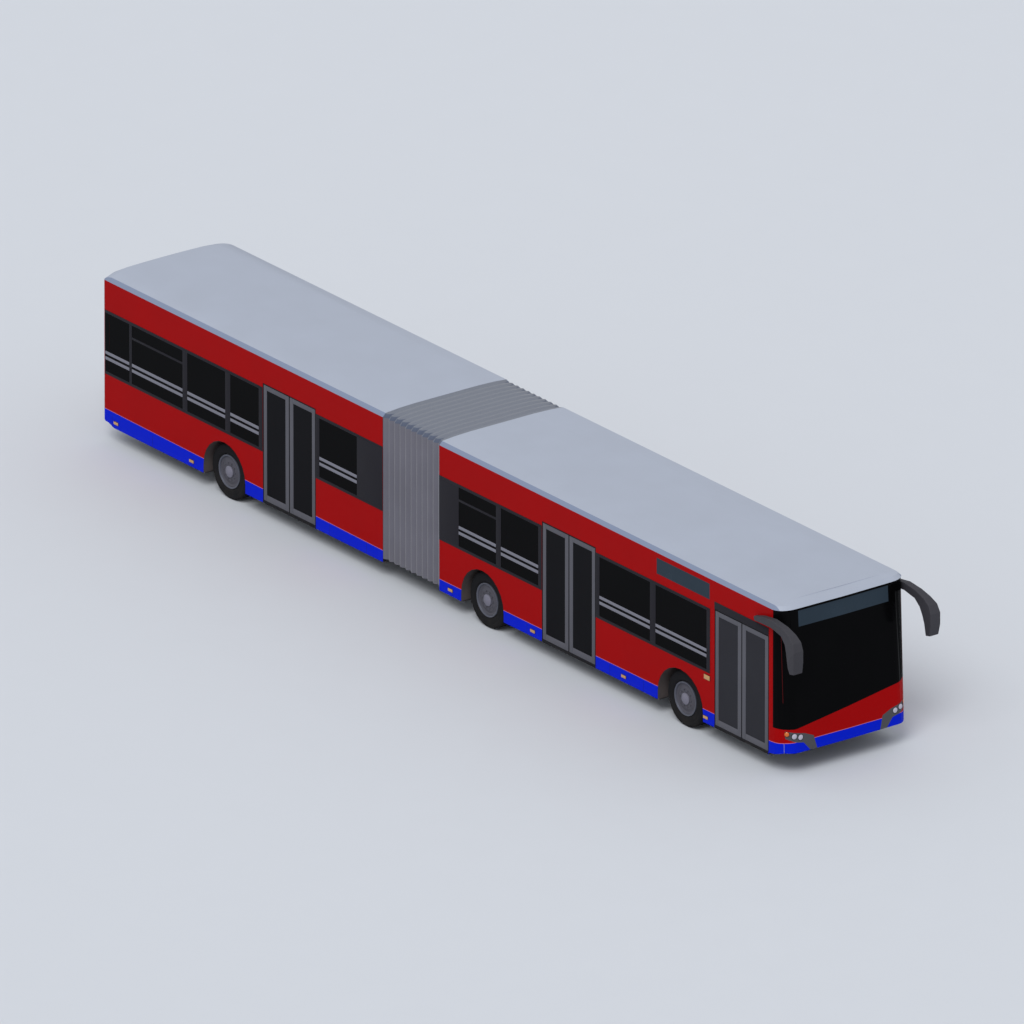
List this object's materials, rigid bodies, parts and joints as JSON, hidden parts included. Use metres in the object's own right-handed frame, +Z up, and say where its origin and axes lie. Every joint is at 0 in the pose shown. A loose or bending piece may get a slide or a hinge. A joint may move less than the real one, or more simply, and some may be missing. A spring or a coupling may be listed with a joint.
{
  "type": "articulated bus",
  "caption": "Long low-floor city bus in two hollow sections joined by a turntable and pleated bellows, with steered front wheels, twin wheels behind and inward-swinging double doors.",
  "frame": {"origin": "on the ground, under the middle of the overall box with the mirrors included", "axes": "+X forward along the bus, +Y to the driver's side, +Z up"},
  "size_m": [18.8235, 2.95, 2.907],
  "materials": {
    "red_paint": "gloss coach paint, red above and blue along the skirt",
    "roof_paint": "satin pale grey paint",
    "dark_glass": "dark tinted glass bonded in black frames",
    "display_panel": "smoked display window, blank",
    "lamp_cluster": "clear lamps in a dark grey housing",
    "door_metal": "dark grey anodised frames with tinted panes",
    "floor_covering": "grained sheet floor over a plate",
    "bellows_fabric": "matt grey coated fabric in pleats",
    "tyre_rubber": "matt black rubber",
    "wheel_metal": "satin grey steel wheel",
    "axle_metal": "dark chassis paint",
    "dark_plastic": "fine grained dark plastic",
    "seat_fabric": "woven seat covers",
    "engine_metal": "bare castings"
  },
  "bodies": {
    "front_section": {"nose": "red_paint", "windscreen": "dark_glass", "front_display": "display_panel", "headlamp_right": "lamp_cluster", "headlamp_left": "lamp_cluster", "front_roof": "roof_paint", "front_right_wall": "red_paint", "front_left_wall": "red_paint", "front_right_glazing_a": "dark_glass", "front_right_glazing_b": "dark_glass", "front_left_glazing": "dark_glass", "side_display": "display_panel", "front_floor": "floor_covering", "turntable": "axle_metal", "bellows": "bellows_fabric", "front_axle": "axle_metal", "middle_axle": "axle_metal", "mirror_right": "dark_plastic", "mirror_left": "dark_plastic", "front_left_seats": "seat_fabric", "front_right_seats": "seat_fabric", "driver_seat": "seat_fabric", "dashboard": "dark_plastic", "cab_partition": "dark_plastic"},
    "rear_section": {"tail": "red_paint", "rear_window": "dark_glass", "rear_roof": "roof_paint", "rear_right_wall": "red_paint", "rear_left_wall": "red_paint", "rear_right_glazing_a": "dark_glass", "rear_right_glazing_b": "dark_glass", "rear_left_glazing": "dark_glass", "rear_floor": "floor_covering", "rear_axle": "axle_metal", "rear_left_seats": "seat_fabric", "rear_right_seats": "seat_fabric", "engine_block": "engine_metal"},
    "knuckle_right": {"knuckle_right": "axle_metal"},
    "knuckle_left": {"knuckle_left": "axle_metal"},
    "engine_lid": {"engine_lid": "red_paint"},
    "front_right_wheel": {"front_right_tyre": "tyre_rubber", "front_right_wheel": "wheel_metal"},
    "front_left_wheel": {"front_left_tyre": "tyre_rubber", "front_left_wheel": "wheel_metal"},
    "middle_right_wheel": {"middle_right_tyre": "tyre_rubber", "middle_right_wheel": "wheel_metal"},
    "middle_left_wheel": {"middle_left_tyre": "tyre_rubber", "middle_left_wheel": "wheel_metal"},
    "rear_right_wheel": {"rear_right_tyre": "tyre_rubber", "rear_right_wheel": "wheel_metal"},
    "rear_left_wheel": {"rear_left_tyre": "tyre_rubber", "rear_left_wheel": "wheel_metal"},
    "front_door_front_leaf": {"front_door_front_leaf": "door_metal"},
    "front_door_rear_leaf": {"front_door_rear_leaf": "door_metal"},
    "middle_door_front_leaf": {"middle_door_front_leaf": "door_metal"},
    "middle_door_rear_leaf": {"middle_door_rear_leaf": "door_metal"},
    "rear_door_front_leaf": {"rear_door_front_leaf": "door_metal"},
    "rear_door_rear_leaf": {"rear_door_rear_leaf": "door_metal"}
  },
  "joints": [
    {"name": "articulation", "type": "hinge", "parent": "front_section", "child": "rear_section", "pos_m": [-0.9925, 0, 0.27], "axis": [0, 0, 1], "range_deg": [-50, 50], "deforming": ["bellows"]},
    {"name": "steering_left", "type": "hinge", "parent": "front_section", "child": "knuckle_left", "pos_m": [6.1775, 0.9, 0.47441], "axis": [0, 0, 1], "range_deg": [-42, 42]},
    {"name": "steering_right", "type": "hinge", "parent": "front_section", "child": "knuckle_right", "pos_m": [6.1775, -0.9, 0.47441], "axis": [0, 0, 1], "range_deg": [-42, 42]},
    {"name": "front_right_roll", "type": "hinge", "parent": "knuckle_right", "child": "front_right_wheel", "pos_m": [6.1775, -1.185, 0.47441], "axis": [0, 1, 0], "continuous": true},
    {"name": "front_left_roll", "type": "hinge", "parent": "knuckle_left", "child": "front_left_wheel", "pos_m": [6.1775, 1.185, 0.47441], "axis": [0, 1, 0], "continuous": true},
    {"name": "middle_right_roll", "type": "hinge", "parent": "front_section", "child": "middle_right_wheel", "pos_m": [0.9175, -1.185, 0.47441], "axis": [0, 1, 0], "continuous": true},
    {"name": "middle_left_roll", "type": "hinge", "parent": "front_section", "child": "middle_left_wheel", "pos_m": [0.9175, 1.185, 0.47441], "axis": [0, 1, 0], "continuous": true},
    {"name": "rear_right_roll", "type": "hinge", "parent": "rear_section", "child": "rear_right_wheel", "pos_m": [-6.0375, -1.185, 0.47441], "axis": [0, 1, 0], "continuous": true},
    {"name": "rear_left_roll", "type": "hinge", "parent": "rear_section", "child": "rear_left_wheel", "pos_m": [-6.0375, 1.185, 0.47441], "axis": [0, 1, 0], "continuous": true},
    {"name": "front_door_front_leaf_swing", "type": "hinge", "parent": "front_section", "child": "front_door_front_leaf", "pos_m": [8.4815, -1.22, 0.345], "axis": [0, 0, -1], "range_deg": [0, 88]},
    {"name": "front_door_rear_leaf_swing", "type": "hinge", "parent": "front_section", "child": "front_door_rear_leaf", "pos_m": [7.1035, -1.22, 0.345], "axis": [0, 0, 1], "range_deg": [0, 88]},
    {"name": "middle_door_front_leaf_swing", "type": "hinge", "parent": "front_section", "child": "middle_door_front_leaf", "pos_m": [3.9115, -1.22, 0.345], "axis": [0, 0, -1], "range_deg": [0, 88]},
    {"name": "middle_door_rear_leaf_swing", "type": "hinge", "parent": "front_section", "child": "middle_door_rear_leaf", "pos_m": [2.5335, -1.22, 0.345], "axis": [0, 0, 1], "range_deg": [0, 88]},
    {"name": "rear_door_front_leaf_swing", "type": "hinge", "parent": "rear_section", "child": "rear_door_front_leaf", "pos_m": [-3.5835, -1.22, 0.345], "axis": [0, 0, -1], "range_deg": [0, 88]},
    {"name": "rear_door_rear_leaf_swing", "type": "hinge", "parent": "rear_section", "child": "rear_door_rear_leaf", "pos_m": [-4.9615, -1.22, 0.345], "axis": [0, 0, 1], "range_deg": [0, 88]},
    {"name": "engine_lid_lift", "type": "hinge", "parent": "rear_section", "child": "engine_lid", "pos_m": [-9.40177, 0, 1.2], "axis": [0, 1, 0], "range_deg": [0, 80]}
  ],
  "couplings": [
    {"joint": "steering_right", "follows": "steering_left", "ratio": 1},
    {"joint": "front_door_rear_leaf_swing", "follows": "front_door_front_leaf_swing", "ratio": 1},
    {"joint": "middle_door_rear_leaf_swing", "follows": "middle_door_front_leaf_swing", "ratio": 1},
    {"joint": "rear_door_rear_leaf_swing", "follows": "rear_door_front_leaf_swing", "ratio": 1}
  ]
}
